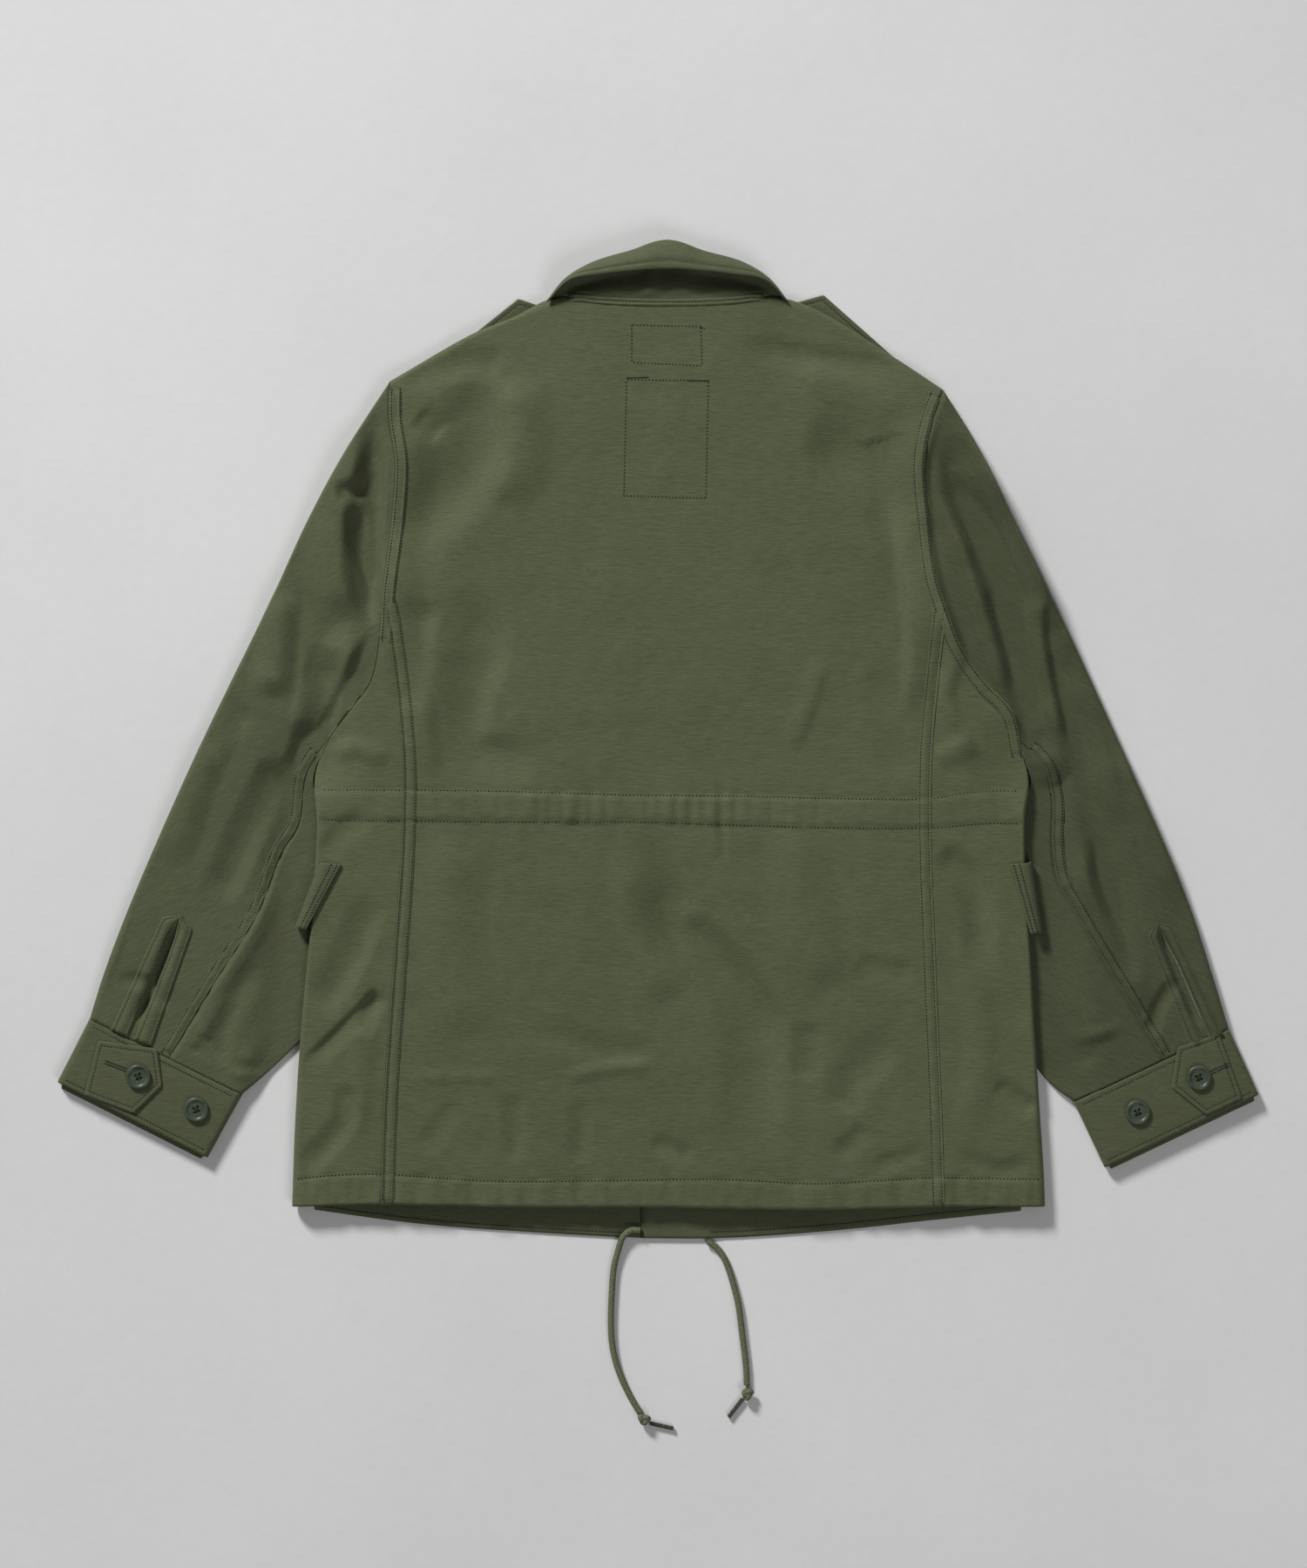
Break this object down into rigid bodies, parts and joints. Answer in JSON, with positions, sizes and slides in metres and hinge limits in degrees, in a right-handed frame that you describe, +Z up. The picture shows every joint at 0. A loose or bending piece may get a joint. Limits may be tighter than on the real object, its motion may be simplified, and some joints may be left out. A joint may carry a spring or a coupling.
{
  "type": "field jacket",
  "caption": "Olive field jacket laid flat and face down, with felled back seams, drawcord waist and hem, buttoned cuffs and folded collar.",
  "frame": {"origin": "on the surface the jacket lies on, under the middle of its outline without the drawcords", "axes": "+Z up away from the surface, +Y towards the collar, +X towards the wearer's right sleeve"},
  "size_m": [0.967, 0.958, 0.026],
  "materials": {
    "olive_sateen": "matte",
    "olive_button": "satin",
    "olive_cord": "matte",
    "dark_tip": "satin"
  },
  "bodies": {
    "root": {"back_centre": "olive_sateen", "back_side_left": "olive_sateen", "back_side_right": "olive_sateen", "front_left": "olive_sateen", "front_right": "olive_sateen", "collar": "olive_sateen", "sleeve_top_left": "olive_sateen", "sleeve_top_right": "olive_sateen", "sleeve_under_left": "olive_sateen", "sleeve_under_right": "olive_sateen", "placket_left": "olive_sateen", "placket_right": "olive_sateen", "cuff_left": "olive_sateen", "cuff_right": "olive_sateen", "cuff_tab_left": "olive_sateen", "cuff_tab_right": "olive_sateen", "shoulder_loop_left": "olive_sateen", "shoulder_loop_right": "olive_sateen", "pocket_flap_left": "olive_sateen", "pocket_flap_right": "olive_sateen", "cuff_button_left_1": "olive_button", "cuff_button_left_2": "olive_button", "cuff_button_right_1": "olive_button", "cuff_button_right_2": "olive_button", "hem_cord_left": "olive_cord", "hem_cord_right": "olive_cord", "cord_knot_left": "olive_cord", "cord_knot_right": "olive_cord", "cord_tip_left": "dark_tip", "cord_tip_right": "dark_tip"}
  },
  "joints": []
}
